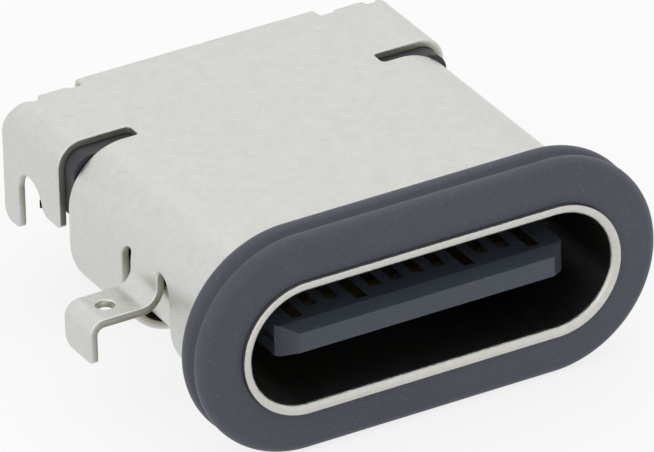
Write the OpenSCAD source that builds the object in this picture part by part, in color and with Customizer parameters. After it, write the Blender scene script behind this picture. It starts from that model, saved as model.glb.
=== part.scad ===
// Sealed board socket for a 24-contact reversible plug, sunk into a notch in the board's edge.
// Frame: X across the opening, +Y into the socket, +Z away from the board.
// The origin is the centre of the plug opening, level with the front of the metal lip.

/* [Plug opening] */
// Width of the plug opening inside the tube
mouth_w = 8.34; // [8.2:0.02:8.5]
// Height of the plug opening inside the tube
mouth_h = 2.56; // [2.5:0.02:2.64]
// Wall of the deep-drawn tube
tube_wall = 0.22; // [0.18:0.01:0.25]
// Depth of the cavity, from the lip to its back wall
cavity_depth = 6.2; // [6.0:0.1:6.3]

/* [Tongue] */
// Width of the tongue
tongue_w = 6.69; // [6.6:0.01:6.75]
// Thickness of the tongue
tongue_t = 0.70; // [0.66:0.01:0.74]
// Distance from the lip to the tongue's tip
tongue_tip = 0.28; // [0.2:0.02:0.4]
// Distance from the lip to the thick root of the tongue
root_front = 4.7; // [4.5:0.1:4.9]
// Thickness of the tongue's root
root_t = 1.24; // [1.1:0.02:1.3]
// Thickness of the steel plate between the two rows of contacts
mid_plate_t = 0.12; // [0.1:0.01:0.14]

/* [Contacts] */
// Distance between neighbouring contacts
contact_pitch = 0.5; // [0.5:0.1:0.5]
// Width of one contact
contact_w = 0.25; // [0.2:0.01:0.28]
// Thickness of one contact
contact_t = 0.12; // [0.1:0.01:0.12]
// Distance from the lip to the tip of a power or ground contact
tip_long = 0.73; // [0.7:0.01:0.8]
// Distance from the lip to the tip of a signal contact
tip_short = 1.2; // [1.1:0.05:1.4]

/* [Stamped shell] */
// Thickness of the stamped sheet
sheet = 0.18; // [0.15:0.01:0.2]
// Outer corner radius of the wrapped part
shell_corner = 1.3; // [1.2:0.05:1.4]
// Outer corner radius of the bend to the side plates
plate_corner = 0.6; // [0.5:0.05:0.7]
// Front edge of the stamped shell
shell_front = 1.12; // [1.1:0.01:1.2]
// Rear edge of the wrapped part
wrap_rear = 7.0; // [6.95:0.01:7.0]
// Rear face of the folded flap
flap_rear = 9.9; // [9.85:0.01:9.95]
// Width of the slots between the wrapped part and the side plates
relief_w = 0.38; // [0.34:0.02:0.42]
// Half the width of the bridge between those slots
bridge_half = 2.88; // [2.8:0.02:2.9]

/* [Side tabs] */
// Front edge of each side tab
tab_front = 3.3; // [3.2:0.05:3.4]
// Width of each side tab
tab_w = 1.1; // [1:0.05:1.15]
// Height of the tab's upper face
tab_top = -0.05; // [-0.1:0.01:0]
// Distance from the centre plane to the outer face of the tab's foot
tab_reach = 6.12; // [6:0.02:6.3]
// Height of the foot's lower end
foot_bottom = -1.0; // [-1.1:0.05:-0.9]
// Diameter of the hole in each tab
tab_hole_d = 0.38; // [0.34:0.02:0.42]

/* [Legs] */
// Height of the lower end of the rear legs
rear_leg_bottom = -1.08; // [-1.2:0.02:-1]
// Height of the lower end of the front legs
front_leg_bottom = -0.35; // [-0.4:0.01:-0.3]

/* [Seal] */
// How far the seal stands out from the tube
seal_height = 0.93; // [0.85:0.01:1]
// Front face of the seal
seal_front = 0.12; // [0.1:0.01:0.15]
// Rear face of the seal
seal_rear = 1.1; // [1.05:0.01:1.1]

/* [Hidden] */
$fn = 48;
eps = 0.01;

ROW = 12; // contacts in one row

// Tube: two straight sides and two round ends that share one spine
mouth_r = mouth_h / 2;
tube_r = mouth_r + tube_wall;
spine = mouth_w / 2 - mouth_r;
tube_rear = 6.95;

// Tongue and what lies in it
tongue_half = tongue_t / 2;
root_half = root_t / 2;
root_w = 6.2;
bar_rear = 1.0;      // rear of the solid bar at the tongue's tip
rail_x = 3.0;        // inner face of the tongue's side rails
contact_z = tongue_half - contact_t / 2;
ground_plate_t = 0.12;
base_rear = 6.6;     // rear of the moulded base that closes the cavity

// Stamped shell
shell_half_w = spine + tube_r + sheet;
shell_half_h = tube_r + sheet;
plate_front = wrap_rear + relief_w;
plate_rear = 9.82;
top_rear = 9.5;
flap_half = 2.65;
board_z = tab_top - sheet;

// Windows beside the tabs
window_front = 2.76;
window_rear = 4.67;
window_top = 0.68;
window_inner = 3.25;
tab_rear = tab_front + tab_w;
tab_bend = 0.17;     // inner radius of the bend between wall and tab
foot_bend = 0.16;    // inner radius of the bend between tab and foot
foot_round = 0.28;   // radius of the foot's rear lower corner
score_z = -0.52;     // height of the line scored across the foot
score_depth = 0.05;
coin_depth = 0.03;   // how far the coined face below that line lies in
hole_shift = 0.11;   // the hole lies this far outside the tab's middle

// Fork in each side plate
fork_front = 8.22;
fork_rear = 9.18;
fork_top = 0.40;

// Folded flap, with a relief notch and a small lug on each side of it
flap_start = 9.2;
flap_bend = 0.13;    // inner radius of the fold
flap_bottom_gap = 0.2;
notch_x = 2.87;
notch_r = 0.22;
notch_y = 9.17;
lug_outer_x = 3.64;
lug_front = 9.36;

// Seam under the wrapped part, held by two dovetails
seam_w = 0.03;
dovetail_y = [2.6, 5.3];
dovetail_neck = 0.22;
dovetail_head = 0.38;
dovetail_reach = 0.7;

// Rear housing
housing_front = 7.02;
housing_rear = 9.7;
housing_half = 3.85;
wing_rear = 8.0;
wing_bottom = 0.1;

// Contact tails
upper_tail_y = 9.3;
tail_foot_rear = 9.75;
pin_rows = [7.75, 8.55];
pin_bottom = -1.0;
lower_run_z = 0.05;  // height of the lower row once it has climbed above the board
climb_y = 6.45;
bend_r = 0.12;       // centre-line radius of a contact's bends

function contact_x(i) = (i - (ROW - 1) / 2) * contact_pitch;
function is_long(i) = i == 0 || i == 3 || i == 8 || i == 11;
function tip_y(i) = is_long(i) ? tip_long : tip_short;
function pin_y(i) = pin_rows[min(i, ROW - 1 - i) % 2];
function upper_path(i) = [
    [tip_y(i), contact_z],
    [upper_tail_y, contact_z],
    [upper_tail_y, board_z + contact_t / 2],
    [tail_foot_rear, board_z + contact_t / 2]
];
function lower_path(i) = [
    [tip_y(i), -contact_z],
    [climb_y, -contact_z],
    [climb_y, lower_run_z],
    [pin_y(i), lower_run_z],
    [pin_y(i), pin_bottom]
];

// ---- helpers ----

// Extrudes an XZ outline from y0 to y1
module along_y(y0, y1) {
    translate([0, y1, 0]) rotate([90, 0, 0]) linear_extrude(y1 - y0) children();
}

// Extrudes a YZ outline from x0 to x1
module along_x(x0, x1) {
    translate([x0, 0, 0]) rotate([90, 0, 90]) linear_extrude(x1 - x0) children();
}

module both_sides() {
    children();
    mirror([1, 0, 0]) children();
}

// Obround of half height r about the shared spine
module obround(r) {
    square([2 * spine, 2 * r], center = true);
    for (s = [-1, 1]) translate([s * spine, 0]) circle(r);
}

// Rectangle of half sizes a and b with corners of radius r
module round_rect(a, b, r) {
    square([2 * a, 2 * (b - r)], center = true);
    square([2 * (a - r), 2 * b], center = true);
    for (sx = [-1, 1], sy = [-1, 1]) translate([sx * (a - r), sy * (b - r)]) circle(r);
}

// Carries a profile drawn in distance from the spine and depth once round the spine
module round_spine() {
    for (s = [-1, 1])
        translate([s * spine, 0, 0]) rotate([-90, 0, 0]) rotate([0, 0, s * 90 + 180])
            rotate_extrude(angle = 180) children();
    for (s = [0, 1])
        mirror([0, 0, s]) translate([spine, 0, 0]) rotate([0, -90, 0])
            linear_extrude(2 * spine) children();
}

// Strip of thickness t that follows square corners p, each bent to centre-line radius r
module strip(p, t, r) {
    last = len(p) - 1;
    for (i = [0:last - 1]) {
        d = (p[i + 1] - p[i]) / norm(p[i + 1] - p[i]);
        a = p[i] + d * (i > 0 ? r : 0);
        b = p[i + 1] - d * (i < last - 1 ? r : 0);
        translate(a) rotate(atan2(d[1], d[0])) translate([0, -t / 2]) square([norm(b - a), t]);
    }
    for (i = [1:last - 1]) {
        d1 = (p[i] - p[i - 1]) / norm(p[i] - p[i - 1]);
        d2 = (p[i + 1] - p[i]) / norm(p[i + 1] - p[i]);
        c = p[i] - d1 * r + d2 * r;
        q = (d1 - d2) * (r + t);
        intersection() {
            translate(c) difference() {
                circle(r + t / 2);
                circle(r - t / 2);
            }
            translate([c[0] + min(0, q[0]), c[1] + min(0, q[1])]) square([abs(q[0]), abs(q[1])]);
        }
    }
}

// ---- inner tube and seal ----

module inner_tube() {
    color([0.80, 0.80, 0.78])
        round_spine() {
            translate([mouth_r, tube_wall / 2]) square([tube_wall, tube_rear - tube_wall / 2]);
            translate([mouth_r + tube_wall / 2, tube_wall / 2]) circle(tube_wall / 2);
        }
}

module seal_gasket() {
    crest = tube_r + seal_height;
    front_rib = 0.25;
    rear_rib = 0.23;
    color([0.24, 0.25, 0.30])
        round_spine() {
            translate([tube_r, seal_front])
                square([seal_height - front_rib, seal_rear - seal_front]);
            translate([crest - front_rib, seal_front + front_rib]) circle(front_rib);
            translate([crest - rear_rib, seal_rear - rear_rib]) circle(rear_rib);
        }
}

// ---- stamped shell ----

module wrapped_part() {
    along_y(shell_front, wrap_rear) difference() {
        round_rect(shell_half_w, shell_half_h, shell_corner);
        round_rect(shell_half_w - sheet, shell_half_h - sheet, shell_corner - sheet);
    }
}

// Gap beside a tab's root: straight sides under a round top
module window_gap(y0, y1) {
    r = (y1 - y0) / 2;
    along_x(window_inner, shell_half_w + eps) {
        translate([y0, -shell_half_h - eps]) square([2 * r, shell_half_h + window_top - r]);
        translate([y0 + r, window_top - r]) circle(r);
    }
}

module side_window() {
    window_gap(window_front, tab_front);
    window_gap(tab_rear, window_rear);
    translate([window_inner, tab_front - eps, -shell_half_h - eps])
        cube([2, tab_w + 2 * eps, shell_half_h + eps + tab_top + tab_bend]);
}

// Tab that is bent out of the wall, and the foot at its end
module side_tab() {
    mid = sheet / 2;
    wall_x = shell_half_w - mid;
    tab_mid_x = (shell_half_w + tab_reach) / 2;
    difference() {
        union() {
            along_y(tab_front, tab_rear)
                strip([
                    [wall_x, tab_top + 2 * tab_bend + mid],
                    [wall_x, tab_top - mid],
                    [tab_mid_x, tab_top - mid]
                ], sheet, tab_bend + mid);
            intersection() {
                along_y(tab_front, tab_rear)
                    strip([
                        [tab_mid_x - eps, tab_top - mid],
                        [tab_reach - mid, tab_top - mid],
                        [tab_reach - mid, foot_bottom]
                    ], sheet, foot_bend + mid);
                along_x(shell_half_w, tab_reach + eps) {
                    translate([tab_front, foot_bottom + foot_round]) square([tab_w, 2]);
                    leg_tip(tab_front, tab_rear, foot_bottom, foot_round);
                }
            }
        }
        translate([tab_mid_x + hole_shift, (tab_front + tab_rear) / 2, tab_top - 1])
            cylinder(d = tab_hole_d, h = 2);
        // scored line, and the coined face below it
        along_y(tab_front - eps, tab_rear + eps)
            polygon([
                [tab_reach + eps, score_z + score_depth],
                [tab_reach - score_depth, score_z],
                [tab_reach - coin_depth, score_z - score_depth],
                [tab_reach - coin_depth, foot_bottom - eps],
                [tab_reach + eps, foot_bottom - eps]
            ]);
    }
}

module side_plate_outline() {
    rear_r = 0.3;
    fork_r = (fork_rear - fork_front) / 2;
    difference() {
        union() {
            polygon([
                [plate_front, shell_half_h],
                [top_rear, shell_half_h],
                [plate_rear, shell_half_h - plate_corner - 0.1],
                [plate_rear, rear_leg_bottom + rear_r],
                [plate_rear - rear_r, rear_leg_bottom + rear_r],
                [fork_rear, rear_leg_bottom + rear_r],
                [fork_rear, front_leg_bottom + rear_r],
                [plate_front, front_leg_bottom + rear_r]
            ]);
            leg_tip(fork_rear, plate_rear, rear_leg_bottom, rear_r);
            leg_tip(plate_front, fork_front, front_leg_bottom, rear_r);
        }
        translate([fork_front, front_leg_bottom - eps])
            square([2 * fork_r, fork_top - fork_r - front_leg_bottom + eps]);
        translate([fork_front + fork_r, fork_top - fork_r]) circle(fork_r);
    }
}

// End of a leg: a large round on its rear corner and a small one in front
module leg_tip(y0, y1, z, r) {
    small = 0.1;
    translate([y1 - r, z + r]) circle(r);
    translate([y0 + small, z + small]) circle(small);
    translate([y0, z + small]) square([small, r - small]);
    translate([y0 + small, z]) square([y1 - y0 - r - small, r]);
}

// Cross-section of the squared rear part, open below
module rear_section(t) {
    difference() {
        translate([0, -1]) round_rect(shell_half_w - t, shell_half_h + 1 - t, plate_corner - t);
        translate([-9, -9]) square([18, 9 - 2.2]);
    }
}

module rear_part() {
    intersection() {
        along_y(wrap_rear, plate_rear) difference() {
            rear_section(0);
            rear_section(sheet);
        }
        union() {
            along_x(-shell_half_w - 1, shell_half_w + 1) side_plate_outline();
            translate([-bridge_half, wrap_rear, 0])
                cube([2 * bridge_half, top_rear - wrap_rear, 3]);
        }
        translate([0, 0, -3]) linear_extrude(6) rear_plan();
    }
}

// Plan of the squared part: relief notches beside the flap and small lugs outside them
module rear_plan() {
    difference() {
        translate([-6, wrap_rear]) square([12, plate_rear - wrap_rear]);
        for (s = [0, 1]) mirror([s, 0]) {
            translate([notch_x - notch_r, notch_y]) square([2 * notch_r, 1]);
            translate([notch_x, notch_y]) circle(notch_r);
            translate([lug_outer_x, lug_front]) square([2 * notch_r, 1]);
        }
    }
}

module rear_flap() {
    mid = sheet / 2;
    along_x(-flap_half, flap_half)
        strip([
            [flap_start, shell_half_h - mid],
            [flap_rear - mid, shell_half_h - mid],
            [flap_rear - mid, board_z + flap_bottom_gap]
        ], sheet, flap_bend + mid);
}

// Line of the seam in plan, drawn as short bars from corner to corner
module seam_plan() {
    p = concat(
        [[0, shell_front - seam_w]],
        [for (y = dovetail_y, q = [
            [0, -dovetail_neck], [dovetail_reach, -dovetail_head],
            [dovetail_reach, dovetail_head], [0, dovetail_neck]
        ]) [q[0], y + q[1]]],
        [[0, wrap_rear + seam_w]]
    );
    for (i = [0:len(p) - 2]) {
        d = p[i + 1] - p[i];
        translate(p[i]) rotate(atan2(d[1], d[0])) translate([-seam_w / 2, -seam_w / 2])
            square([norm(d) + seam_w, seam_w]);
    }
}

module outer_shell() {
    color([0.82, 0.82, 0.79]) union() {
        difference() {
            wrapped_part();
            both_sides() side_window();
            translate([0, 0, -shell_half_h - eps]) linear_extrude(sheet + 2 * eps) seam_plan();
        }
        both_sides() side_tab();
        rear_part();
        rear_flap();
    }
}

// ---- tongue ----

// Straight stretch of every contact of one row, from y0 to y1
module row_channel(y0, y1, z) {
    for (i = [0:ROW - 1])
        translate([contact_x(i) - contact_w / 2, y0, z - contact_t / 2])
            cube([contact_w, y1 - y0, contact_t]);
}

module all_contacts() {
    for (i = [0:ROW - 1]) {
        contact(i, upper_path(i));
        contact(i, lower_path(i));
    }
}

module contact(i, path) {
    along_x(contact_x(i) - contact_w / 2, contact_x(i) + contact_w / 2)
        strip(path, contact_t, bend_r);
}

// Plan of the tongue at its tip, with the two front corners cut off
module tongue_plan(y1) {
    chamfer = 0.38;
    half = tongue_w / 2;
    polygon([
        [-half, y1],
        [-half, tongue_tip + chamfer],
        [-half + chamfer, tongue_tip],
        [half - chamfer, tongue_tip],
        [half, tongue_tip + chamfer],
        [half, y1]
    ]);
}

// Side view of the tongue, with its upper and lower front edges sloped
module tongue_side() {
    slope = 0.13;
    polygon([
        [tongue_tip, -tongue_half + slope],
        [tongue_tip, tongue_half - slope],
        [tongue_tip + 0.3, tongue_half],
        [cavity_depth, tongue_half],
        [cavity_depth, -tongue_half],
        [tongue_tip + 0.3, -tongue_half]
    ]);
}

module tongue_frame() {
    color([0.13, 0.14, 0.16]) difference() {
        union() {
            intersection() {
                translate([0, 0, -1]) linear_extrude(2) tongue_plan(cavity_depth);
                along_x(-4, 4) tongue_side();
            }
            along_y(root_front, cavity_depth) square([tongue_w, root_t], center = true);
            along_y(cavity_depth, base_rear) obround(mouth_r);
        }
        // pocket for the two inserts, which meet on the steel plate
        translate([-rail_x, bar_rear, -tongue_half - eps])
            cube([2 * rail_x, cavity_depth - bar_rear, tongue_t + 2 * eps]);
        translate([-root_w / 2, root_front - eps, -root_half - eps])
            cube([root_w, cavity_depth - root_front + eps, root_t + 2 * eps]);
        mid_plate_body();
        all_contacts();
    }
}

// One insert: a slab on the tongue and a block at its root, moulded round one row
module insert_body() {
    base = mid_plate_t / 2;
    translate([-rail_x, bar_rear, base])
        cube([2 * rail_x, cavity_depth - bar_rear, tongue_half - base]);
    translate([-root_w / 2, root_front, base])
        cube([root_w, cavity_depth - root_front, root_half - base]);
}

module upper_insert() {
    color([0.16, 0.16, 0.18]) difference() {
        insert_body();
        row_channel(0, 7, contact_z);
    }
}

module lower_insert() {
    color([0.16, 0.16, 0.18]) difference() {
        mirror([0, 0, 1]) insert_body();
        row_channel(0, 7, -contact_z);
    }
}

// Steel plate between the rows, with an arm on each side that passes the contacts and ends in a pin
module mid_plate_body() {
    plate_tip = 0.66;
    arm_x = 3.1;
    arm_w = 0.4;
    arm_pin_y = 8.1;
    translate([-tongue_w / 2, plate_tip, -mid_plate_t / 2])
        cube([tongue_w, cavity_depth - plate_tip, mid_plate_t]);
    both_sides() along_x(arm_x, arm_x + arm_w)
        strip([
            [cavity_depth - arm_w, 0],
            [arm_pin_y, 0],
            [arm_pin_y, pin_bottom]
        ], mid_plate_t, bend_r);
}

module mid_plate() {
    color([0.72, 0.72, 0.70]) mid_plate_body();
}

// Earth plate on one face of the root, with two slots that the moulding grips
module ground_plate() {
    edge = 0.1;
    slot_x = 1.0;
    slot_w = 1.1;
    slot_y = root_front + 0.5;
    slot_l = 0.45;
    color([0.70, 0.70, 0.68]) difference() {
        translate([-root_w / 2 + edge, root_front + edge, root_half])
            cube([root_w - 2 * edge, cavity_depth - root_front - edge, ground_plate_t]);
        both_sides() translate([slot_x, slot_y, root_half - eps])
            cube([slot_w, slot_l, ground_plate_t + 2 * eps]);
    }
}

module upper_ground_plate() {
    ground_plate();
}

module lower_ground_plate() {
    mirror([0, 0, 1]) ground_plate();
}

// ---- rear of the socket ----

module potting_seal() {
    color([0.20, 0.19, 0.17]) difference() {
        along_y(base_rear, tube_rear) obround(mouth_r);
        mid_plate_body();
        all_contacts();
    }
}

// Moulded block round the tails, with a chamfer under the flap's fold
module rear_housing() {
    roof = shell_half_h - sheet;
    side = shell_half_w - sheet;
    inner_r = plate_corner - sheet;
    chamfer = flap_bend + 0.05;
    feet_room_w = 6.2;
    feet_room_h = 0.3;
    color([0.10, 0.10, 0.12]) difference() {
        union() {
            along_x(-housing_half, housing_half)
                polygon([
                    [housing_front, board_z],
                    [housing_rear, board_z],
                    [housing_rear, roof - chamfer],
                    [housing_rear - chamfer, roof],
                    [housing_front, roof]
                ]);
            along_y(housing_front, wing_rear) intersection() {
                round_rect(side, roof, inner_r);
                translate([-side, wing_bottom]) square([2 * side, roof - wing_bottom]);
            }
            // boss that closes the tube behind the potting
            along_y(tube_rear, housing_front) intersection() {
                obround(mouth_r);
                translate([-side, board_z]) square([2 * side, roof]);
            }
        }
        // room for the soldered feet under the rear edge
        translate([-feet_room_w / 2, upper_tail_y - 0.2, board_z - eps])
            cube([feet_room_w, 1, feet_room_h]);
        mid_plate_body();
        all_contacts();
    }
}

inner_tube();
outer_shell();
seal_gasket();
tongue_frame();
upper_insert();
lower_insert();
mid_plate();
upper_ground_plate();
lower_ground_plate();
potting_seal();
rear_housing();
for (i = [0:ROW - 1])
    color([0.80, 0.66, 0.34]) contact(i, upper_path(i));
for (i = [0:ROW - 1])
    color([0.80, 0.66, 0.34]) contact(i, lower_path(i));
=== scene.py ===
"""Sealed board socket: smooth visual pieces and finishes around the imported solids."""

import math

import bpy
import numpy as np
from bpy.props import FloatProperty, FloatVectorProperty, IntProperty, PointerProperty
from mathutils import Matrix, Vector
from mathutils.geometry import delaunay_2d_cdt


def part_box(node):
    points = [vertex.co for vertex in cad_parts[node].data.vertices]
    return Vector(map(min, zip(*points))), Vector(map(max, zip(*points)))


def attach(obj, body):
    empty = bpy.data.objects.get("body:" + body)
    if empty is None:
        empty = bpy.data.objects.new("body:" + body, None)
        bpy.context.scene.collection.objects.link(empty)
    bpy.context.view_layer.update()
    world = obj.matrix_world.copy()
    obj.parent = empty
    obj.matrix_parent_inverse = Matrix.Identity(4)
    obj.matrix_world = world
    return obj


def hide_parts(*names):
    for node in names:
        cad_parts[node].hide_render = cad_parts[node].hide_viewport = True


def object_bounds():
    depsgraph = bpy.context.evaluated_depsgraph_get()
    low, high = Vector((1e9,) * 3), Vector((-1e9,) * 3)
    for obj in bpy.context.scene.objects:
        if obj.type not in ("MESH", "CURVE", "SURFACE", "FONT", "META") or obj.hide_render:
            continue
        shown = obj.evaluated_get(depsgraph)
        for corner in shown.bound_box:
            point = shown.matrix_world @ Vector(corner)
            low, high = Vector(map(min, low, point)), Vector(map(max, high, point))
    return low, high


bl_info = {
    "name": "Sealed Board Socket",
    "version": (1, 0, 0),
    "blender": (4, 5, 0),
    "location": "View3D > Sidebar > Socket",
    "description": "Stamped shell, drawn tube, seal ring, tongue and contacts of a sealed board socket",
    "category": "Add Mesh",
}

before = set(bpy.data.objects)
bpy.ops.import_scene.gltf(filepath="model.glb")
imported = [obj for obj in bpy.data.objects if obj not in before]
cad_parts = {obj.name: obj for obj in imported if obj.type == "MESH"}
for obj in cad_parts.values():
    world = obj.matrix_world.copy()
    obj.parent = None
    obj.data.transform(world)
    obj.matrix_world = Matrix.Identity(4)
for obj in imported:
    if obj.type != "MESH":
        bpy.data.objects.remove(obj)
CAD_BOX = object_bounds()
MM = 0.001
QUARTER = math.pi / 2


def box_mm(node):
    """Lowest and highest corner of a CAD node as arrays in millimetres."""
    low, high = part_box(node)
    return np.array(low) / MM, np.array(high) / MM


TUBE_LOW, TUBE_HIGH = box_mm("inner_tube")
SEAL_LOW, SEAL_HIGH = box_mm("seal_gasket")
SHELL_LOW, SHELL_HIGH = box_mm("outer_shell")
CONTACT_LOW, CONTACT_HIGH = box_mm("contact_a1")
SPINE = TUBE_HIGH[0] - TUBE_HIGH[2]
ROW = 12


def length(name, text, value, low, high):
    """A length property that is kept in metres and given here in millimetres."""
    return FloatProperty(name=name, description=text, default=value * MM, min=low * MM, max=high * MM,
                         unit="LENGTH", precision=5)


def colour(name, text, value):
    """A colour property in linear light."""
    return FloatVectorProperty(name=name, description=text, default=value, size=3, min=0, max=1,
                               subtype="COLOR")


class SocketShell(bpy.types.PropertyGroup):
    """Sizes of the stamped shell that its box does not give."""
    sheet: length("Sheet", "Thickness of the stamped sheet", 0.18, 0.1, 0.3)
    wrap_radius: length("Wrap radius", "Outer corner radius of the part round the tube", 1.3, 1.1, 1.5)
    plate_radius: length("Plate radius", "Outer corner radius above the side plates", 0.6, 0.4, 0.8)
    die_roll: length("Die roll", "Radius of the outer rim of every cut edge", 0.045, 0.01, 0.06)
    tab_hole: length("Tab hole", "Diameter of the hole in each tab", 0.38, 0.2, 0.5)
    grid: length("Grid", "Spacing of the points inside the flat blank", 0.13, 0.05, 0.3)


class SocketSeal(bpy.types.PropertyGroup):
    """Sizes of the seal ring and of the tube's lip."""
    front_rib: length("Front rib", "Radius of the rounded front shoulder", 0.25, 0.1, 0.4)
    rear_rib: length("Rear rib", "Radius of the rear rib", 0.23, 0.1, 0.4)
    tube_wall: length("Tube wall", "Wall of the drawn tube", 0.22, 0.15, 0.3)
    arc_steps: IntProperty(name="Arc steps", description="Steps round one end of the ring", default=72,
                           min=12, max=200)


class SocketContacts(bpy.types.PropertyGroup):
    """Sizes of the contacts."""
    pitch: length("Pitch", "Distance between neighbours", 0.5, 0.5, 0.5)
    width: length("Width", "Width of one contact", 0.25, 0.2, 0.28)
    thickness: length("Thickness", "Thickness of one contact", 0.12, 0.1, 0.12)


class SocketFinish(bpy.types.PropertyGroup):
    """Colours of the finishes."""
    steel: colour("Steel", "Plated sheet", (0.66, 0.66, 0.63))
    cut_edge: colour("Cut edge", "Bare metal on the cut edges", (0.36, 0.34, 0.26))
    tube: colour("Tube", "Drawn tube", (0.62, 0.61, 0.57))
    rubber: colour("Rubber", "Seal ring", (0.055, 0.060, 0.082))
    tongue: colour("Tongue", "Moulded tongue", (0.045, 0.055, 0.075))
    housing: colour("Housing", "Moulded rear housing", (0.026, 0.027, 0.034))
    gold: colour("Gold", "Contacts", (0.62, 0.44, 0.16))


class SocketStage(bpy.types.PropertyGroup):
    """Light on the stage."""
    overhead: FloatProperty(name="Overhead", description="Power of the lamp above", default=0.009, min=0,
                            max=1, unit="POWER", precision=4)
    side: FloatProperty(name="Side", description="Power of the lamp at the left", default=0.014, min=0,
                        max=1, unit="POWER", precision=4)
    ambient: FloatProperty(name="Ambient", description="Strength of the world on matte surfaces", default=0.8,
                           min=0, max=2)


# ---------------------------------------------------------------- meshes

def add_piece(name, verts, faces, material, replaced=(), normals=None, marks=None):
    """Makes a mesh from points in millimetres and lists of faces, and lets it ride on the part.

    normals are one direction for each point; marks are one value for each point, by name.
    """
    mesh = bpy.data.meshes.new(name)
    mesh.from_pydata((np.asarray(verts) * MM).tolist(), [], [f for block in faces for f in block.tolist()])
    mesh.shade_smooth()
    for label, values in (marks or {}).items():
        mesh.attributes.new(label, "FLOAT", "POINT").data.foreach_set("value", values.astype(np.float32))
    if normals is not None:
        mesh.normals_split_custom_set_from_vertices(normals.tolist())
    mesh.materials.append(material)
    piece = bpy.data.objects.new(name, mesh)
    bpy.context.scene.collection.objects.link(piece)
    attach(piece, "root")
    if replaced:
        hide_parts(*replaced)
    return piece


def grid_faces(rows, columns, wrap_rows=False, wrap_columns=False, start=0):
    """Quads between neighbouring rows and columns of a grid whose points are numbered row by row."""
    i = np.arange(rows if wrap_rows else rows - 1)[:, None]
    j = np.arange(columns if wrap_columns else columns - 1)[None, :]
    i2, j2 = (i + 1) % rows, (j + 1) % columns
    quads = np.stack([i * columns + j, i * columns + j2, i2 * columns + j2, i2 * columns + j], axis=-1)
    return quads.reshape(-1, 4) + start


def bent_line(t, bends):
    """Point (a, b) and heading at distance t along a line that starts along +a.

    Each bend is (start, radius, turn): from that distance on, the line follows an arc of that radius
    until its heading has changed by turn. Along an arc from heading h, the point moves by
    radius * (sin(h + turn) - sin h, cos h - cos(h + turn)), with the sign of the turn.
    """
    a, b, heading = np.zeros_like(t), np.zeros_like(t), np.zeros_like(t)
    done, angle = 0.0, 0.0
    for start, radius, turn in bends:
        side = math.copysign(1, turn)
        run = np.clip(t, done, start) - done
        swing = side * (np.clip(t, start, start + radius * abs(turn)) - start) / radius
        a += run * math.cos(angle) + side * radius * (np.sin(angle + swing) - math.sin(angle))
        b += run * math.sin(angle) - side * radius * (np.cos(angle + swing) - math.cos(angle))
        heading = heading + swing
        done, angle = start + radius * abs(turn), angle + turn
    run = np.maximum(t - done, 0)
    return a + run * math.cos(angle), b + run * math.sin(angle), heading


def round_corners(corners, step):
    """Closed outline through corners (u, v, radius), with an arc at each and points at most step apart.

    The arc at a corner touches both sides at radius / tan(half the corner's angle) from it.
    """
    p = np.array([c[:2] for c in corners], float)
    line = []
    for k, (_, _, radius) in enumerate(corners):
        back, ahead = p[k - 1] - p[k], p[(k + 1) % len(p)] - p[k]
        back, ahead = back / np.linalg.norm(back), ahead / np.linalg.norm(ahead)
        half = math.acos(np.clip(back @ ahead, -1, 1)) / 2
        if radius <= 0 or half > QUARTER - 0.01:
            line.append(p[k][None])
            continue
        middle = p[k] + (back + ahead) / np.linalg.norm(back + ahead) * radius / math.sin(half)
        first, last = p[k] + back * radius / math.tan(half), p[k] + ahead * radius / math.tan(half)
        a0 = math.atan2(*(first - middle)[::-1])
        turn = (math.atan2(*(last - middle)[::-1]) - a0 + math.pi) % (2 * math.pi) - math.pi
        angles = a0 + turn * np.linspace(0, 1, 2 + int(abs(turn) * radius / (0.6 * step)))
        line.append(middle + radius * np.stack([np.cos(angles), np.sin(angles)], axis=-1))
    line = np.concatenate(line)
    after = np.roll(line, -1, axis=0)
    counts = np.maximum(1, np.ceil(np.linalg.norm(after - line, axis=1) / step)).astype(int)
    which = np.repeat(np.arange(len(line)), counts)
    part = (np.arange(len(which)) - np.repeat(np.cumsum(counts) - counts, counts)) / counts[which]
    return line[which] + (after - line)[which] * part[:, None]


def inward(loop):
    """Unit directions square to a closed outline, towards its left."""
    along = np.roll(loop, -1, axis=0) - np.roll(loop, 1, axis=0)
    along /= np.linalg.norm(along, axis=1, keepdims=True)
    return np.stack([-along[:, 1], along[:, 0]], axis=-1)


def inside(points, loops):
    """True where a point is inside an odd number of the outlines."""
    hit = np.zeros(len(points), bool)
    for loop in loops:
        a, b = loop, np.roll(loop, -1, axis=0)
        for chunk in np.array_split(np.arange(len(points)), max(1, len(points) // 4000)):
            x, y = points[chunk, 0, None], points[chunk, 1, None]
            cross = (a[:, 1] > y) != (b[:, 1] > y)
            rise = np.where(b[:, 1] == a[:, 1], 1, b[:, 1] - a[:, 1])
            at = a[:, 0] + (y - a[:, 1]) * (b[:, 0] - a[:, 0]) / rise
            hit[chunk] ^= (cross & (x < at)).sum(axis=1) % 2 == 1
    return hit


def clear_of(points, edge, gap):
    """True where a point is at least gap away from every point of the outlines."""
    keep = np.ones(len(points), bool)
    for chunk in np.array_split(np.arange(len(points)), max(1, len(points) // 2000)):
        far = points[chunk, None, :] - edge[None]
        keep[chunk] = (far ** 2).sum(axis=-1).min(axis=1) > gap ** 2
    return keep


# ---------------------------------------------------------------- stamped shell

# Places on the folded shell, in millimetres of the part's frame
WRAP_REAR = 7.0
SEAM = 0.015            # half the gap between the sheet's two edges
DOVETAIL_Y = (2.6, 5.3)
DOVETAIL_NECK, DOVETAIL_HEAD, DOVETAIL_REACH = 0.22, 0.38, 0.7

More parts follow.
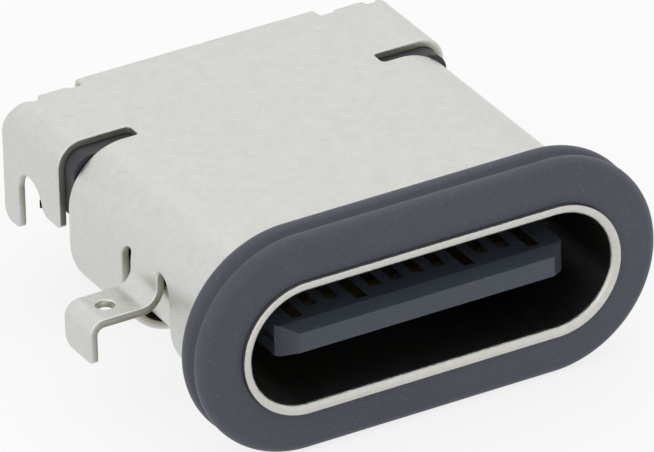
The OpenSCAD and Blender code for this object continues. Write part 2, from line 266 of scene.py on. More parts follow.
# Windows, tabs and feet
WINDOW_Y = (2.80, 4.77)
WINDOW_TOP = 0.68
WINDOW_INNER = 3.25
TAB_Y = (3.3, 4.4)
TAB_TOP = -0.05
TAB_BEND = 0.36         # inner radius of the bend between wall and tab
TAB_HOLE_X = 5.455
FOOT_BEND = 0.16        # inner radius of the bend between tab and foot
FOOT_BOTTOM = -1.0

# Side plates with their slots and legs
PLATE_Y = (7.42, 9.82)
BRIDGE = 2.88           # half the width of the sheet between the slots
SLOT_ROUND = 0.09
FORK_Y = (8.20, 9.20)
FORK_TOP = 0.33
FORK_ROUND = 0.47
FRONT_LEG, REAR_LEG = -0.27, -1.08
LEG_ROUND = 0.3

# Flap, and the notch and the lug on each side of it
FLAP_HALF = 2.8
FLAP_FOLD = 0.07        # inner radius of the fold
NOTCH_Y = 9.47
LUG_X = (3.16, 3.84)
LUG_REAR = 9.55
LUG_STEP = 9.39


class Blank:
    """The flat blank of the stamped shell and the way it folds.

    u runs across from the middle of the top, v runs along the depth. Everything is on the outer face.
    """

    def __init__(self, sizes):
        self.sheet = sizes.sheet / MM
        self.radius = sizes.wrap_radius / MM
        self.plate_radius = sizes.plate_radius / MM
        self.hole_r = sizes.tab_hole / MM / 2
        self.half_h = SHELL_HIGH[2]
        self.half_w = SPINE + TUBE_HIGH[2] + self.sheet
        self.reach = SHELL_HIGH[0]
        self.rear = SHELL_HIGH[1]
        self.front = SHELL_LOW[1]
        self.foot_bend = FOOT_BEND + self.sheet
        self.fold = FLAP_FOLD + self.sheet
        arc = self.radius * QUARTER
        top = self.half_w - self.radius
        wall = 2 * (self.half_h - self.radius)
        self.girth = 2 * top + 2 * arc + wall
        self.wrap_bends = [(top, self.radius, -QUARTER), (top + arc + wall, self.radius, -QUARTER)]
        root = top + arc + self.half_h - self.radius - TAB_TOP - TAB_BEND
        self.tab_root = root
        flat = self.reach - self.foot_bend - self.half_w - TAB_BEND
        self.tab_flat = root + TAB_BEND * QUARTER
        self.foot_start = self.tab_flat + flat
        self.foot_end = (self.foot_start + self.foot_bend * QUARTER
                         + TAB_TOP - self.foot_bend - FOOT_BOTTOM)
        self.tab_bends = [self.wrap_bends[0], (root, TAB_BEND, QUARTER),
                          (self.foot_start, self.foot_bend, -QUARTER)]
        self.plate_bends = [(self.half_w - self.plate_radius, self.plate_radius, -QUARTER)]
        self.flap_bends = [(self.rear - self.fold, self.fold, -QUARTER)]
        self.plate_zero = self.half_w - self.plate_radius + self.plate_radius * QUARTER

    def plate_u(self, z):
        """Distance across the blank of height z on a side plate."""
        return self.plate_zero + self.half_h - self.plate_radius - z

    def wall_u(self, z):
        """Distance across the blank of height z on the upper half of the wrapped part's side."""
        top = self.half_w - self.radius
        lean = np.clip((z - self.half_h + self.radius) / self.radius, 0, 1)
        return top + self.radius * math.acos(lean) + max(0.0, self.half_h - self.radius - z)

    def place(self, u, v, depth):
        """Folded points and outer normals of blank points (u, v) that lie depth below the outer face."""
        side, across = np.sign(u), np.abs(u)
        tab = (v > TAB_Y[0] - 0.01) & (v < TAB_Y[1] + 0.01) & (across > self.tab_root - 0.02)
        tab &= across < self.foot_end + 0.01
        rear = v > (WRAP_REAR + PLATE_Y[0]) / 2
        flap = rear & (across < FLAP_HALF + 0.02)
        x, z, turn = bent_line(across, self.wrap_bends)
        for where, bends in ((tab, self.tab_bends), (rear, self.plate_bends)):
            x2, z2, turn2 = bent_line(across, bends)
            x, z, turn = np.where(where, x2, x), np.where(where, z2, z), np.where(where, turn2, turn)
        y, drop, dip = bent_line(v, self.flap_bends)
        y, drop, dip = np.where(flap, y, v), np.where(flap, drop, 0), np.where(flap, dip, 0)
        points = np.stack([side * x, y, self.half_h + z + drop], axis=-1)
        outward = np.stack([-side * np.sin(turn), -np.sin(dip), np.cos(turn) * np.cos(dip)], axis=-1)
        return points - outward * depth[..., None], outward

    def outlines(self, step):
        """The outer outline and the holes, each with the sheet on its left."""
        end = self.girth - SEAM
        socket_end = end - DOVETAIL_REACH
        plate_front, plate_rear = PLATE_Y
        fork_front, fork_rear = FORK_Y
        low_front, low_rear = self.plate_u(FRONT_LEG), self.plate_u(REAR_LEG)
        fork = self.plate_u(FORK_TOP)
        flap_end = self.rear - self.fold + self.fold * QUARTER + self.half_h - self.fold + 0.03
        half = [(end, self.front, 0.03)]
        for y in DOVETAIL_Y:
            half += [(end, y - DOVETAIL_NECK, 0.05), (socket_end, y - DOVETAIL_HEAD, 0.08),
                     (socket_end, y + DOVETAIL_HEAD, 0.08), (end, y + DOVETAIL_NECK, 0.05)]
        half += [
            (end, WRAP_REAR, 0.06), (BRIDGE, WRAP_REAR, SLOT_ROUND), (BRIDGE, plate_front, SLOT_ROUND),
            (low_front, plate_front, 0.1), (low_front, fork_front, LEG_ROUND),
            (fork, fork_front, FORK_ROUND), (fork, fork_rear, FORK_ROUND),
            (low_rear, fork_rear, 0.1), (low_rear, plate_rear, LEG_ROUND),
            (self.plate_u(0.98), plate_rear, 0.3),
            (4.14, 9.50, 0.1), (4.03, LUG_STEP, 0.05), (3.88, LUG_STEP, 0.05),
            (LUG_X[1], LUG_REAR, 0.06), (LUG_X[0], LUG_REAR, 0.1),
            (3.10, NOTCH_Y, 0.04), (FLAP_HALF, NOTCH_Y, 0.05), (FLAP_HALF, flap_end, 0.25),
        ]
        # the dovetails of one edge fill the sockets of the other
        tail_end = end + DOVETAIL_REACH - 2 * SEAM
        other = [(-(tail_end if u == socket_end else u), v, r) for u, v, r in half[::-1]]
        outer = round_corners(half + other, step)
        top, bottom = self.wall_u(WINDOW_TOP), self.girth - WINDOW_INNER
        window = [
            (bottom, WINDOW_Y[0], 0.15), (top, WINDOW_Y[0], 0.40), (top, TAB_Y[0], 0.09),
            (self.foot_end, TAB_Y[0], 0.08), (self.foot_end, TAB_Y[1], 0.28),
            (top, TAB_Y[1], 0.08), (top, WINDOW_Y[1], 0.28), (bottom, WINDOW_Y[1], 0.15),
        ]
        hole_u = self.tab_flat + TAB_HOLE_X - self.half_w - TAB_BEND
        turns = np.linspace(0, -2 * math.pi, 36, endpoint=False)
        hole = np.stack([hole_u + self.hole_r * np.cos(turns),
                         sum(TAB_Y) / 2 + self.hole_r * np.sin(turns)], axis=-1)
        right = [round_corners(window, step), hole]
        left = [(loop * [-1, 1])[::-1] for loop in right]
        return [outer] + right + left


def stamped_shell(sizes, material):
    """The flat blank, triangulated once, folded as outer and inner face, and closed by its rim.

    Across the cut edge the profile is a large round at the outer face, a straight land and a small
    round at the inner face; it is carried along every outline of the blank.
    """
    blank = Blank(sizes)
    step = 0.045  # spacing along the outlines and across the bends
    loops = blank.outlines(step)
    edge = np.concatenate(loops)
    left = np.concatenate([inward(loop) for loop in loops])
    spacing = sizes.grid / MM
    flap_end = edge[:, 1].max()
    grids = [np.mgrid[-blank.girth:blank.girth:spacing, blank.front:flap_end:spacing],
             np.mgrid[blank.tab_root - 0.1:blank.foot_end:step, TAB_Y[0]:TAB_Y[1]:0.1],
             np.mgrid[-blank.foot_end:0.1 - blank.tab_root:step, TAB_Y[0]:TAB_Y[1]:0.1],
             np.mgrid[-2.6:2.61:0.15, blank.rear - blank.fold - 0.1:blank.rear + 0.35:step]]
    grids = [g.reshape(2, -1).T for g in grids]

    def bent(p):
        """True on the tabs and at the flap's fold, which have a finer grid of their own."""
        tab = (p[:, 1] > TAB_Y[0]) & (p[:, 1] < TAB_Y[1])
        tab &= (np.abs(p[:, 0]) > blank.tab_root - 0.15) & (np.abs(p[:, 0]) < blank.foot_end)
        fold = (np.abs(p[:, 0]) < 2.65) & (p[:, 1] > blank.rear - blank.fold - 0.15)
        return tab | (fold & (p[:, 1] < blank.rear + 0.4))

    grids[0] = grids[0][~bent(grids[0])]
    inner = np.concatenate(grids)
    inner = inner[inside(inner, loops)]
    inner = inner[clear_of(inner, edge, 0.06)]
    counts = np.array([len(loop) for loop in loops])
    starts = np.cumsum(counts) - counts
    after = np.concatenate([s + (np.arange(n) + 1) % n for s, n in zip(starts, counts)])
    flat = np.concatenate([edge, inner])
    found = delaunay_2d_cdt([Vector(p) for p in flat.tolist()],
                            list(zip(range(len(edge)), after.tolist())), [], 0, 1e-6)
    renumber = np.array([o[0] for o in found[3]])
    triangles = renumber[np.array(found[2])]
    triangles = triangles[inside(flat[triangles].mean(axis=1), loops)]
    n_edge, n_inner = len(edge), len(inner)

    roll, burr = sizes.die_roll / MM, 0.02
    a, b = np.linspace(0, QUARTER, 6), np.linspace(QUARTER, 2 * QUARTER, 4)
    inset = np.concatenate([roll * (1 - np.sin(a)), burr * (1 - np.sin(b))])
    depth = np.concatenate([roll * (1 - np.cos(a)), blank.sheet - burr * (1 + np.cos(b))])
    lean = np.concatenate([a, b])
    rows = len(lean)
    uv = edge[None] + left[None] * inset[:, None, None]
    deep = np.repeat(depth[:, None], n_edge, axis=1)
    rim, outward = blank.place(uv[..., 0], uv[..., 1], deep)
    ahead, _ = blank.place(*(edge + left * 0.01).T, np.zeros(n_edge))
    here, _ = blank.place(*edge.T, np.zeros(n_edge))
    away = (here - ahead) / np.linalg.norm(here - ahead, axis=1, keepdims=True)
    rim_normal = outward * np.cos(lean)[:, None, None] + away[None] * np.sin(lean)[:, None, None]
    face_out, normal = blank.place(*inner.T, np.zeros(n_inner))
    face_in = face_out - normal * blank.sheet

    verts = np.concatenate([rim.reshape(-1, 3), face_out, face_in])
    normals = np.concatenate([rim_normal.reshape(-1, 3), normal, -normal])
    outer_index = np.concatenate([np.arange(n_edge), rows * n_edge + np.arange(n_inner)])
    inner_index = np.concatenate([(rows - 1) * n_edge + np.arange(n_edge),
                                  rows * n_edge + n_inner + np.arange(n_inner)])
    r = np.arange(rows - 1)[:, None] * n_edge
    i = np.arange(n_edge)[None]
    quads = np.stack([r + i, r + n_edge + i, r + n_edge + after[None], r + after[None]], axis=-1)
    quads = quads.reshape(-1, 4)
    cut = np.clip((depth - roll) / 0.02, 0, 1) * np.clip((blank.sheet - depth) / 0.02, 0, 1)
    marks = {"cut": np.concatenate([np.repeat(cut, n_edge), np.zeros(2 * n_inner)])}
    faces = [outer_index[triangles], inner_index[triangles][:, ::-1], quads]
    return add_piece("stamped_shell", verts, faces, material, ["outer_shell"], normals, marks)


# ---------------------------------------------------------------- tube and seal

def ring_path(arc_steps, straight_steps):
    """Points and outward directions once round the obround spine, anticlockwise seen from the front."""
    turn = np.linspace(-QUARTER, QUARTER, arc_steps + 1)
    straight = np.linspace(SPINE, -SPINE, straight_steps + 1)[1:-1]
    right = np.stack([np.full_like(turn, SPINE), np.zeros_like(turn)], axis=-1)
    bar = np.stack([straight, np.zeros_like(straight)], axis=-1)
    out = np.stack([np.cos(turn), np.sin(turn)], axis=-1)
    up = np.tile([0.0, 1.0], (len(straight), 1))
    points = np.concatenate([right, bar, -right, -bar])
    outs = np.concatenate([out, up, -out, -up])
    return points, outs


def ring_piece(name, profile, steps, material, node, marks=None):
    """A closed profile of (distance from the spine, depth), carried once round the spine."""
    points, outs = ring_path(steps, 40)
    reach, y = profile[:, 0], profile[:, 1]
    xz = points[:, None] + outs[:, None] * reach[None, :, None]
    verts = np.stack([xz[..., 0], np.broadcast_to(y, xz.shape[:2]), xz[..., 1]], axis=-1)
    faces = grid_faces(len(points), len(profile), True, True)
    values = {k: np.tile(v, len(points)) for k, v in (marks or {}).items()}
    piece = add_piece(name, verts.reshape(-1, 3), [faces], material, [node], marks=values)
    piece.modifiers.new("Even shading", "WEIGHTED_NORMAL").keep_sharp = True
    return piece


def arc(centre, radius, start, end, steps):
    """Points on an arc, in degrees from the first axis towards the second."""
    turn = np.radians(np.linspace(start, end, steps + 1))
    return np.array(centre) + radius * np.stack([np.cos(turn), np.sin(turn)], axis=-1)


def drawn_tube(sizes, material):
    """Tube wall with a rounded lip; the lip turns from the outer wall over the front to the inner wall. The
    inner half of the profile carries its depth as the mark inside, which drives painted shade in the tube's
    finish.
    """
    wall = sizes.tube_wall / MM
    outer = TUBE_HIGH[2]
    inner = outer - wall
    rear = TUBE_HIGH[1]
    lip, crown, edge = 0.05, 0.15, 0.03
    wall_y = np.linspace(crown + 0.02, rear - 2 * edge, 24)
    profile = np.concatenate([
        arc((outer - lip, lip), lip, 0, -90, 8),
        arc((inner + crown, crown), crown, -90, -180, 12),
        np.stack([np.full_like(wall_y, inner), wall_y], axis=-1),
        arc((inner + edge, rear - edge), edge, 180, 90, 3),
        arc((outer - edge, rear - edge), edge, 90, 0, 3),
        np.stack([np.full_like(wall_y, outer), wall_y[::-1]], axis=-1),
    ])
    # painted shade mask: depth into the tube on the inner half of the profile, 0 on the outer half
    depth = np.where(profile[:, 0] < (outer + inner) / 2, profile[:, 1], 0)
    return ring_piece("drawn_tube", profile[::-1], sizes.arc_steps, material, "inner_tube",
                      {"inside": depth[::-1]})


def seal_ring(sizes, material):
    """Front face, rounded shoulder, groove and rear rib, with a fillet in the groove."""
    bottom = TUBE_HIGH[2]
    crest = SEAL_HIGH[2]
    front, rear = SEAL_LOW[1], SEAL_HIGH[1]
    first, second = sizes.front_rib / MM, sizes.rear_rib / MM
    c1 = (crest - first, front + first)
    c2 = (crest - second, rear - second)
    groove = (c1[1] + first + c2[1] - second) / 2
    floor = crest - 0.17
    small = 0.02
    profile = np.concatenate([
        [(bottom, front + small)],
        arc((bottom + small, front + small), small, 180, 270, 3),
        [(crest - first - 0.45, front)],
        arc(c1, first, -90, 38, 16),
        arc((floor, groove), small, 200, 160, 4),
        arc(c2, second, -38, 90, 16),
        [(crest - second - 0.3, rear)],
        arc((bottom + small, rear - small), small, 90, 180, 3),
    ])
    return ring_piece("seal_ring", profile[::-1], sizes.arc_steps, material, "seal_gasket")


# ---------------------------------------------------------------- contacts

UPPER_TAIL_Y = 9.3      # where the upper row turns down to the board
LOWER_CLIMB_Y = 6.45    # where the lower row climbs above the board
CONTACT_BEND = 0.12     # centre-line radius of every bend


def contact_strip(name, corners, x, sizes, material, node):
    """A rounded flat section carried along a bent line in the plane of depth and height.

    The width narrows over the last tenth of a millimetre at both ends.
    """
    half_w, half_t = sizes.width / MM / 2, sizes.thickness / MM / 2
    p = np.array(corners, float)
    steps = np.diff(p, axis=0)
    lengths = np.linalg.norm(steps, axis=1)
    headings = np.arctan2(steps[:, 1], steps[:, 0])
    turns = (np.diff(headings) + math.pi) % (2 * math.pi) - math.pi
    bends, at, shortened = [], 0.0, 0.0
    for k, turn in enumerate(turns):
        cut = CONTACT_BEND * math.tan(abs(turn) / 2)
        at += lengths[k] - shortened - cut
        bends.append((at, CONTACT_BEND, turn))
        at += CONTACT_BEND * abs(turn)
        shortened = cut
    total = at + lengths[-1] - shortened
    t = [np.array([0, 0.04, 0.1])]
    for start, radius, turn in bends:
        t.append(start + radius * abs(turn) * np.linspace(0, 1, 9))
    t = np.concatenate(t + [np.array([total - 0.1, total - 0.04, total])])
    a, b, heading = bent_line(t, bends)
    c0, s0 = math.cos(headings[0]), math.sin(headings[0])
    y, z = p[0, 0] + a * c0 - b * s0, p[0, 1] + a * s0 + b * c0
    heading = heading + headings[0]
    radius = 0.03
    ring = np.concatenate([arc((half_w - radius, half_t - radius), radius, 0, 90, 3),
                           arc((radius - half_w, half_t - radius), radius, 90, 180, 3),
                           arc((radius - half_w, radius - half_t), radius, 180, 270, 3),
                           arc((half_w - radius, radius - half_t), radius, 270, 360, 3)])
    narrow = 1 - 0.3 * np.clip(1 - np.minimum(t, total - t) / 0.1, 0, 1) ** 2
    across = ring[None, :, 0] * narrow[:, None]
    up = ring[None, :, 1] * np.sqrt(narrow)[:, None]
    verts = np.stack([x + across, y[:, None] - np.sin(heading)[:, None] * up,
                      z[:, None] + np.cos(heading)[:, None] * up], axis=-1)
    n, m = len(t), len(ring)
    faces = [grid_faces(n, m, False, True), np.arange(m)[None], (np.arange(m)[::-1] + (n - 1) * m)[None]]
    piece = add_piece(name, verts.reshape(-1, 3), faces, material, [node])
    piece.modifiers.new("Even shading", "WEIGHTED_NORMAL").keep_sharp = True
    return piece


# ---------------------------------------------------------------- finishes

def node_tree(material):
    """The material's tree and its shader."""
    material.use_nodes = True
    tree = material.node_tree
    return tree, tree.nodes["Principled BSDF"]


def effect(name, inputs, outputs):
    """A node group with float or colour sockets by name."""
    group = bpy.data.node_groups.new(name, "ShaderNodeTree")
    for label, (kind, value) in inputs.items():
        socket = group.interface.new_socket(label, in_out="INPUT", socket_type=kind)
        socket.default_value = value
    for label, kind in outputs.items():
        group.interface.new_socket(label, in_out="OUTPUT", socket_type=kind)
    return group, group.nodes.new("NodeGroupInput"), group.nodes.new("NodeGroupOutput")


FLOAT, COLOR, VECTOR = "NodeSocketFloat", "NodeSocketColor", "NodeSocketVector"


def math_node(tree, operation, a, b=0.5, c=0.0, clamp=False):
    """A Math node; each operand is a number or a socket."""
    node = tree.nodes.new("ShaderNodeMath")
    node.operation = operation
    node.use_clamp = clamp
    for index, value in enumerate((a, b, c)):
        if isinstance(value, bpy.types.NodeSocket):
            tree.links.new(value, node.inputs[index])
        else:
            node.inputs[index].default_value = value
    return node.outputs[0]


def mix_colour(tree, factor, a, b, blend="MIX"):
    """A colour Mix node; each operand is a colour or a socket."""
    node = tree.nodes.new("ShaderNodeMix")
    node.data_type = "RGBA"
    node.blend_type = blend
    for socket, value in ((node.inputs[0], factor), (node.inputs[6], a), (node.inputs[7], b)):
        if isinstance(value, bpy.types.NodeSocket):
            tree.links.new(value, socket)
        elif isinstance(value, (int, float)):
            socket.default_value = value
        else:
            socket.default_value = (*value, 1)
    return node.outputs[2]


def grain_effect():
    """Mottling: a broad and a fine noise on object coordinates, each brought to -1 .. 1 and weighted."""
    group, entry, leave = effect("Mottled Grain", {
        "Broad Size": (FLOAT, 0.25), "Fine Size": (FLOAT, 0.05), "Broad": (FLOAT, 0.5), "Fine": (FLOAT, 0.5),
    }, {"Value": FLOAT})
    place = group.nodes.new("ShaderNodeTexCoord").outputs["Object"]
    total = 0.0
    for size, weight, detail in (("Broad Size", "Broad", 4.0), ("Fine Size", "Fine", 2.0)):
        noise = group.nodes.new("ShaderNodeTexNoise")
        noise.inputs["Detail"].default_value = detail
        noise.inputs["Roughness"].default_value = 0.6
        group.links.new(place, noise.inputs["Vector"])
        scale = math_node(group, "DIVIDE", 1 / MM, entry.outputs[size])
        group.links.new(scale, noise.inputs["Scale"])
        centred = math_node(group, "MULTIPLY_ADD", noise.outputs[0], 2.0, -1.0)
        total = math_node(group, "MULTIPLY_ADD", centred, entry.outputs[weight], total)
    group.links.new(total, leave.inputs["Value"])
    return group


def speck_effect():
    """Sparse specks: the nearest cell point's distance, cut off at a size, kept in a share of the cells."""
    group, entry, leave = effect("Dust Specks", {
        "Cell Size": (FLOAT, 0.2), "Speck": (FLOAT, 0.2), "Share": (FLOAT, 0.3),
    }, {"Mask": FLOAT})
    place = group.nodes.new("ShaderNodeTexCoord").outputs["Object"]
    cells = group.nodes.new("ShaderNodeTexVoronoi")
    group.links.new(place, cells.inputs["Vector"])
    group.links.new(math_node(group, "DIVIDE", 1 / MM, entry.outputs["Cell Size"]), cells.inputs["Scale"])
    near = math_node(group, "DIVIDE", cells.outputs["Distance"], entry.outputs["Speck"])
    spot = math_node(group, "SUBTRACT", 1.0, near, clamp=True)
    split = group.nodes.new("ShaderNodeSeparateColor")
    group.links.new(cells.outputs["Color"], split.inputs[0])
    kept = math_node(group, "LESS_THAN", split.outputs[0], entry.outputs["Share"])
    group.links.new(math_node(group, "MULTIPLY", spot, kept), leave.inputs["Mask"])
    return group


def use(tree, group, **values):
    """Places an effect in a tree with its own values."""
    node = tree.nodes.new("ShaderNodeGroup")
    node.node_tree = group
    for key, value in values.items():
        node.inputs[key.replace("_", " ")].default_value = value
    return node


def bump(tree, height, distance, strength=1.0, below=None):
    """A Bump node; distance is in millimetres."""
    node = tree.nodes.new("ShaderNodeBump")
    node.inputs["Strength"].default_value = strength
    node.inputs["Distance"].default_value = distance * MM
    tree.links.new(height, node.inputs["Height"])
    if below:
        tree.links.new(below, node.inputs["Normal"])
    return node.outputs[0]


def attribute(tree, name):
    """A value that the mesh carries."""
    node = tree.nodes.new("ShaderNodeAttribute")
    node.attribute_name = name
    return node.outputs["Fac"]


def plated_steel(name, base, edge, grain, edge_mark=None, rough=0.36, inside=False):
    """Plated sheet: mottled base colour and roughness, a fine pebbled bump, bare metal where it was cut, and,
    where inside is set, painted shade that darkens the colour deeper into the tube.
    """
    material = bpy.data.materials.new(name)
    tree, shader = node_tree(material)
    shader.inputs["Metallic"].default_value = 1.0
    mottle = use(tree, grain, Broad_Size=0.22, Fine_Size=0.06, Broad=0.9, Fine=0.8).outputs[0]
    tone = math_node(tree, "MULTIPLY_ADD", mottle, 0.5, 0.5, clamp=True)
    body = mix_colour(tree, tone, [c * 0.86 for c in base], [min(1, c * 1.08) for c in base])
    roughness = math_node(tree, "MULTIPLY_ADD", mottle, 0.08, rough)
    if edge_mark:
        cut = attribute(tree, edge_mark)
        body = mix_colour(tree, cut, body, edge)
        roughness = math_node(tree, "MULTIPLY_ADD", cut, 0.12, roughness)
    # painted shade: the colour falls towards 0.35 of the base deeper into the tube, standing in for shade and
    # the dark reflection inside it
    if inside:
        depth = attribute(tree, "inside")
        painted_shade = math_node(tree, "MULTIPLY_ADD", depth, 0.45, -0.05, clamp=True)
        body = mix_colour(tree, painted_shade, body, [c * 0.35 for c in base])
    tree.links.new(body, shader.inputs["Base Color"])
    tree.links.new(roughness, shader.inputs["Roughness"])
    fine = use(tree, grain, Broad_Size=0.09, Fine_Size=0.03, Broad=0.5, Fine=0.5).outputs[0]
    tree.links.new(bump(tree, fine, 0.006), shader.inputs["Normal"])
    return material


def moulded(name, base, grain, specks, rough, dust, fine_bump=0.004):
    """Moulded plastic or rubber: faint mottling, a matte pebbled bump and a little pale dust."""
    material = bpy.data.materials.new(name)
    tree, shader = node_tree(material)
    mottle = use(tree, grain, Broad_Size=0.5, Fine_Size=0.05, Broad=0.6, Fine=0.6).outputs[0]
    tone = math_node(tree, "MULTIPLY_ADD", mottle, 0.5, 0.5, clamp=True)
    body = mix_colour(tree, tone, [c * 0.8 for c in base], [min(1, c * 1.25) for c in base])
    spots = use(tree, specks, Cell_Size=0.07, Speck=0.4, Share=0.15).outputs[0]
    body = mix_colour(tree, math_node(tree, "MULTIPLY", spots, dust), body, (0.35, 0.36, 0.38))
    tree.links.new(body, shader.inputs["Base Color"])
    tree.links.new(math_node(tree, "MULTIPLY_ADD", mottle, 0.06, rough), shader.inputs["Roughness"])
    fine = use(tree, grain, Broad_Size=0.08, Fine_Size=0.03, Broad=0.5, Fine=0.5).outputs[0]
    tree.links.new(bump(tree, fine, fine_bump), shader.inputs["Normal"])
    return material


def gold_plate(name, base, grain):
    """Gold plating, a little worn: mottled colour and roughness."""
    material = bpy.data.materials.new(name)
    tree, shader = node_tree(material)
    shader.inputs["Metallic"].default_value = 1.0
    mottle = use(tree, grain, Broad_Size=0.3, Fine_Size=0.05, Broad=0.7, Fine=0.4).outputs[0]
    tone = math_node(tree, "MULTIPLY_ADD", mottle, 0.5, 0.5, clamp=True)
    body = mix_colour(tree, tone, [c * 0.75 for c in base], base)
    tree.links.new(body, shader.inputs["Base Color"])
    tree.links.new(math_node(tree, "MULTIPLY_ADD", mottle, 0.08, 0.3), shader.inputs["Roughness"])
    return material


FINISH = {}


def make_finishes(colours):
    """Every finish, by name."""
    grain, specks = grain_effect(), speck_effect()
    FINISH["shell"] = plated_steel("Plated sheet", colours.steel, colours.cut_edge, grain, "cut", 0.36)
    # the last argument gives the tube's inner wall painted shade that grows with depth
    FINISH["tube"] = plated_steel("Drawn tube", colours.tube, colours.cut_edge, grain, None, 0.22, True)
    FINISH["plate"] = plated_steel("Inner plates", colours.tube, colours.cut_edge, grain, None, 0.3)
    FINISH["rubber"] = moulded("Seal rubber", colours.rubber, grain, specks, 0.5, 0.2)
    FINISH["tongue"] = moulded("Tongue plastic", colours.tongue, grain, specks, 0.4, 0.15)
    FINISH["housing"] = moulded("Housing plastic", colours.housing, grain, specks, 0.45, 0.1)
    FINISH["potting"] = moulded("Potting resin", colours.housing, grain, specks, 0.18, 0.0, 0.002)
    FINISH["gold"] = gold_plate("Gold contacts", colours.gold, grain)


# ---------------------------------------------------------------- operators

class SOCKET_OT_finishes(bpy.types.Operator):
    """Makes the finishes"""
    bl_idname = "socket.finishes"
    bl_label = "Finishes"

    def execute(self, context):
        make_finishes(context.scene.socket_finish)
        return {"FINISHED"}


class SOCKET_OT_shell(bpy.types.Operator):
    """Folds the stamped shell from its flat blank"""
    bl_idname = "socket.shell"
    bl_label = "Stamped shell"

    def execute(self, context):
        stamped_shell(context.scene.socket_shell, FINISH["shell"])
        return {"FINISHED"}


class SOCKET_OT_ring(bpy.types.Operator):
    """Makes the drawn tube and the seal ring"""
    bl_idname = "socket.ring"
    bl_label = "Tube and seal"

    def execute(self, context):
        drawn_tube(context.scene.socket_seal, FINISH["tube"])
        seal_ring(context.scene.socket_seal, FINISH["rubber"])
        return {"FINISHED"}


class SOCKET_OT_contacts(bpy.types.Operator):
    """Makes both rows of contacts"""
    bl_idname = "socket.contacts"
    bl_label = "Contacts"

    def execute(self, context):
        sizes = context.scene.socket_contacts
        pitch, half_t = sizes.pitch / MM, sizes.thickness / MM / 2
        for row in "ab":
            for i in range(ROW):
                node = f"contact_{row}{i + 1}"
                low, high = box_mm(node)
                x = (low[0] + high[0]) / 2
                if row == "a":
                    board = low[2] + half_t
                    corners = [(low[1], high[2] - half_t), (UPPER_TAIL_Y, high[2] - half_t),
                               (UPPER_TAIL_Y, board), (high[1], board)]
                else:
                    pin = high[1] - half_t
                    face, run = -(CONTACT_HIGH[2] - half_t), high[2] - half_t
                    corners = [(low[1], face), (LOWER_CLIMB_Y, face), (LOWER_CLIMB_Y, run), (pin, run),
                               (pin, low[2])]
                name = f"contact_{'upper' if row == 'a' else 'lower'}_{i + 1}"
                contact_strip(name, corners, x, sizes, FINISH["gold"], node)
        return {"FINISHED"}


class SOCKET_OT_mouldings(bpy.types.Operator):
    """Finishes the mouldings and plates, whose solids stay, with softened edges"""
    bl_idname = "socket.mouldings"
    bl_label = "Mouldings"

    def execute(self, context):
        wanted = {"tongue_frame": "tongue", "upper_insert": "tongue", "lower_insert": "tongue",
                  "mid_plate": "plate", "upper_ground_plate": "plate", "lower_ground_plate": "plate",
                  "potting_seal": "potting", "rear_housing": "housing"}
        for node, finish in wanted.items():
            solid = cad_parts[node]
            solid.data.materials.clear()
            solid.data.materials.append(FINISH[finish])
            weld = solid.modifiers.new("Join", "WELD")
            weld.merge_threshold = 0.0005 * MM
            soft = solid.modifiers.new("Soft edges", "BEVEL")
            soft.width = 0.025 * MM
            soft.segments = 2
            soft.limit_method = "ANGLE"
            soft.angle_limit = math.radians(35)
        return {"FINISHED"}


class SOCKET_OT_stage(bpy.types.Operator):
    """Sets the floor, the lamps, the world and the camera"""
    bl_idname = "socket.stage"
    bl_label = "Stage"

    def execute(self, context):
        make_stage(context.scene)
        return {"FINISHED"}


def shown_rays(tree):
    """1 for rays from the camera, off gloss and through glass, and 0 for the rest."""
    path = tree.nodes.new("ShaderNodeLightPath").outputs
    seen = math_node(tree, "MAXIMUM", path["Is Camera Ray"], path["Is Glossy Ray"])
    return math_node(tree, "MAXIMUM", seen, path["Is Transmission Ray"])


def make_floor():
    """A pale floor under the seal ring; most of it shows as plain white, and the rest keeps the shadow."""
    bpy.ops.mesh.primitive_plane_add(size=1.2, location=(0, 0, CAD_BOX[0].z - 0.02 * MM))
    floor = bpy.context.object
    floor.name = "floor"
    paper = bpy.data.materials.new("Paper floor")
    tree, shader = node_tree(paper)
    shader.inputs["Base Color"].default_value = (0.92, 0.92, 0.92, 1)
    shader.inputs["Roughness"].default_value = 0.9
    white = tree.nodes.new("ShaderNodeEmission")
    both = tree.nodes.new("ShaderNodeMixShader")
    tree.links.new(math_node(tree, "MULTIPLY", shown_rays(tree), 0.8), both.inputs[0])
    tree.links.new(shader.outputs[0], both.inputs[1])
    tree.links.new(white.outputs[0], both.inputs[2])
    tree.links.new(both.outputs[0], tree.nodes["Material Output"].inputs["Surface"])
    floor.data.materials.append(paper)


def make_world(scene, ambient):
    """White where it shows or reflects, and of the ambient strength on matte surfaces."""
    world = bpy.data.worlds.new("Studio")
    scene.world = world
    world.use_nodes = True
    tree = world.node_tree
    background = tree.nodes["Background"]
    background.inputs["Color"].default_value = (1, 1, 1, 1)
    strength = math_node(tree, "MULTIPLY_ADD", shown_rays(tree), 1.0 - ambient, ambient)
    tree.links.new(strength, background.inputs["Strength"])


def make_lamp(scene, name, power, place, size):
    """A square area lamp that faces the middle of the part."""
    data = bpy.data.lights.new(name, "AREA")
    data.energy = power
    data.size = size
    lamp = bpy.data.objects.new(name, data)
    lamp.location = place
    lamp.rotation_euler = (Vector((0, 0.005, 0)) - Vector(place)).to_track_quat("-Z", "Y").to_euler()
    scene.collection.objects.link(lamp)


AZIMUTH, ELEVATION, ROLL = (math.radians(a) for a in (29.005, 28.986, -1.592))
LENS = 660.55
SHIFT_RIGHT, SHIFT_UP, DISTANCE = -2.172, 1.703, 241.258    # of the camera from the origin, in mm


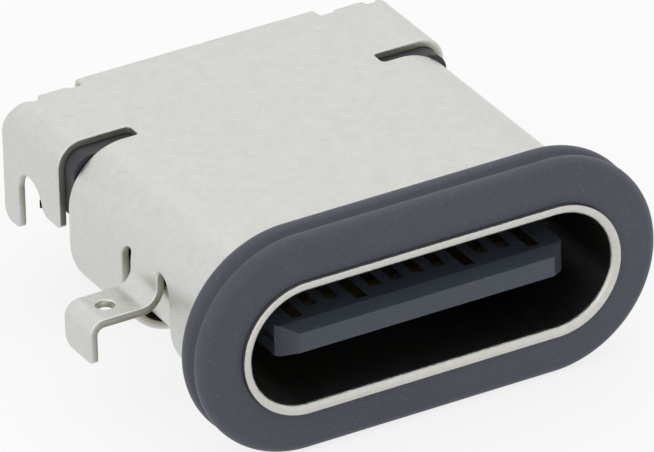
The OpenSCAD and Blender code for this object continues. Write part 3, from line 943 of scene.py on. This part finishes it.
def make_camera(scene):
    """A long lens that looks down at the opening from the right."""
    ahead = Vector((math.sin(AZIMUTH) * math.cos(ELEVATION), math.cos(AZIMUTH) * math.cos(ELEVATION),
                    -math.sin(ELEVATION)))
    right = Vector((math.cos(AZIMUTH), -math.sin(AZIMUTH), 0))
    up = right.cross(ahead)
    right, up = (right * math.cos(ROLL) + up * math.sin(ROLL), up * math.cos(ROLL) - right * math.sin(ROLL))
    camera = bpy.data.objects.new("camera", bpy.data.cameras.new("camera"))
    camera.data.sensor_width = 36
    camera.data.lens = LENS
    camera.data.clip_start, camera.data.clip_end = 0.01, 10
    camera.matrix_world = Matrix((right, up, -ahead)).transposed().to_4x4()
    camera.location = right * SHIFT_RIGHT * MM + up * SHIFT_UP * MM - ahead * DISTANCE * MM
    scene.collection.objects.link(camera)
    scene.camera = camera


def make_stage(scene):
    """Floor, world, two soft lamps and the camera."""
    settings = scene.socket_stage
    make_floor()
    make_world(scene, settings.ambient)
    make_lamp(scene, "Overhead", settings.overhead, (0.02, 0.03, 0.10), 0.10)
    make_lamp(scene, "Left", settings.side, (-0.09, -0.02, 0.05), 0.12)
    make_camera(scene)
    scene.view_settings.view_transform = "Standard"


class SOCKET_PT_panel(bpy.types.Panel):
    """Lists the pieces of the socket"""
    bl_idname = "SOCKET_PT_panel"
    bl_label = "Sealed Board Socket"
    bl_space_type = "VIEW_3D"
    bl_region_type = "UI"
    bl_category = "Socket"

    def draw(self, context):
        for operator in OPERATORS:
            self.layout.operator(operator.bl_idname)
        for group in GROUPS:
            settings = getattr(context.scene, group)
            for key in settings.__annotations__:
                self.layout.prop(settings, key)


GROUPS = {"socket_shell": SocketShell, "socket_seal": SocketSeal, "socket_contacts": SocketContacts,
          "socket_finish": SocketFinish, "socket_stage": SocketStage}
OPERATORS = (SOCKET_OT_finishes, SOCKET_OT_shell, SOCKET_OT_ring, SOCKET_OT_contacts,
             SOCKET_OT_mouldings, SOCKET_OT_stage)


def register():
    for cls in (*GROUPS.values(), *OPERATORS, SOCKET_PT_panel):
        bpy.utils.register_class(cls)
    for name, cls in GROUPS.items():
        setattr(bpy.types.Scene, name, PointerProperty(type=cls))


def unregister():
    for name in GROUPS:
        delattr(bpy.types.Scene, name)
    for cls in (SOCKET_PT_panel, *OPERATORS[::-1], *list(GROUPS.values())[::-1]):
        bpy.utils.unregister_class(cls)


def main():
    register()
    for operator in OPERATORS:
        getattr(bpy.ops.socket, operator.bl_idname.split(".")[1])()


if __name__ == "__main__":
    main()
